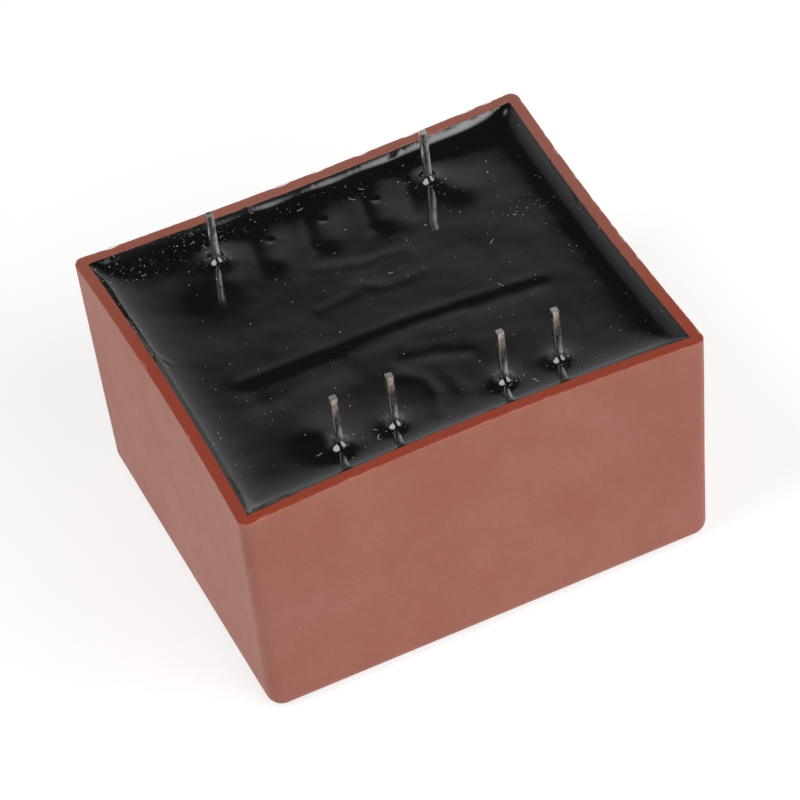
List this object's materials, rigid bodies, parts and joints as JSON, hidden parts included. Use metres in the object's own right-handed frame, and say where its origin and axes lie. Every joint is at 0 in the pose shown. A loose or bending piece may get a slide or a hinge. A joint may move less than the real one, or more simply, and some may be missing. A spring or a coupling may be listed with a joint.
{
  "type": "pcb transformer",
  "caption": "Encapsulated printed-circuit mains transformer: a rectangular moulded case filled with black cast resin, with rows of tinned square solder pins standing out of the resin.",
  "frame": {"origin": "centre of the closed face, which the part lies on", "axes": "+X along the long walls, +Y towards the row of pins 1 and 5, +Z out of the open side along the pins"},
  "size_m": [0.0422, 0.0358, 0.0281],
  "materials": {
    "case_plastic": "satin moulded, red-brown",
    "potting_resin": "glossy cast, black",
    "tinned_pin": "tin plated, cut tips",
    "bobbin_plastic": "satin moulded, natural",
    "winding_wire": "enamelled copper",
    "insulation_tape": "polyester film, yellow",
    "core_steel": "annealed silicon steel, blue-grey"
  },
  "bodies": {
    "root": {"case": "case_plastic", "potting": "potting_resin", "bobbin": "bobbin_plastic", "primary_winding": "winding_wire", "secondary_winding_a": "winding_wire", "secondary_winding_b": "winding_wire", "tape_primary": "insulation_tape", "tape_secondary": "insulation_tape", "pin_1": "tinned_pin", "pin_5": "tinned_pin", "pin_6": "tinned_pin", "pin_7": "tinned_pin", "pin_9": "tinned_pin", "pin_10": "tinned_pin", "e_lamination_01": "core_steel", "i_lamination_01": "core_steel", "e_lamination_02": "core_steel", "i_lamination_02": "core_steel", "e_lamination_03": "core_steel", "i_lamination_03": "core_steel", "e_lamination_04": "core_steel", "i_lamination_04": "core_steel", "e_lamination_05": "core_steel", "i_lamination_05": "core_steel", "e_lamination_06": "core_steel", "i_lamination_06": "core_steel", "e_lamination_07": "core_steel", "i_lamination_07": "core_steel", "e_lamination_08": "core_steel", "i_lamination_08": "core_steel", "e_lamination_09": "core_steel", "i_lamination_09": "core_steel", "e_lamination_10": "core_steel", "i_lamination_10": "core_steel", "e_lamination_11": "core_steel", "i_lamination_11": "core_steel", "e_lamination_12": "core_steel", "i_lamination_12": "core_steel", "e_lamination_13": "core_steel", "i_lamination_13": "core_steel", "e_lamination_14": "core_steel", "i_lamination_14": "core_steel", "e_lamination_15": "core_steel", "i_lamination_15": "core_steel", "e_lamination_16": "core_steel", "i_lamination_16": "core_steel", "e_lamination_17": "core_steel", "i_lamination_17": "core_steel"}
  },
  "joints": []
}
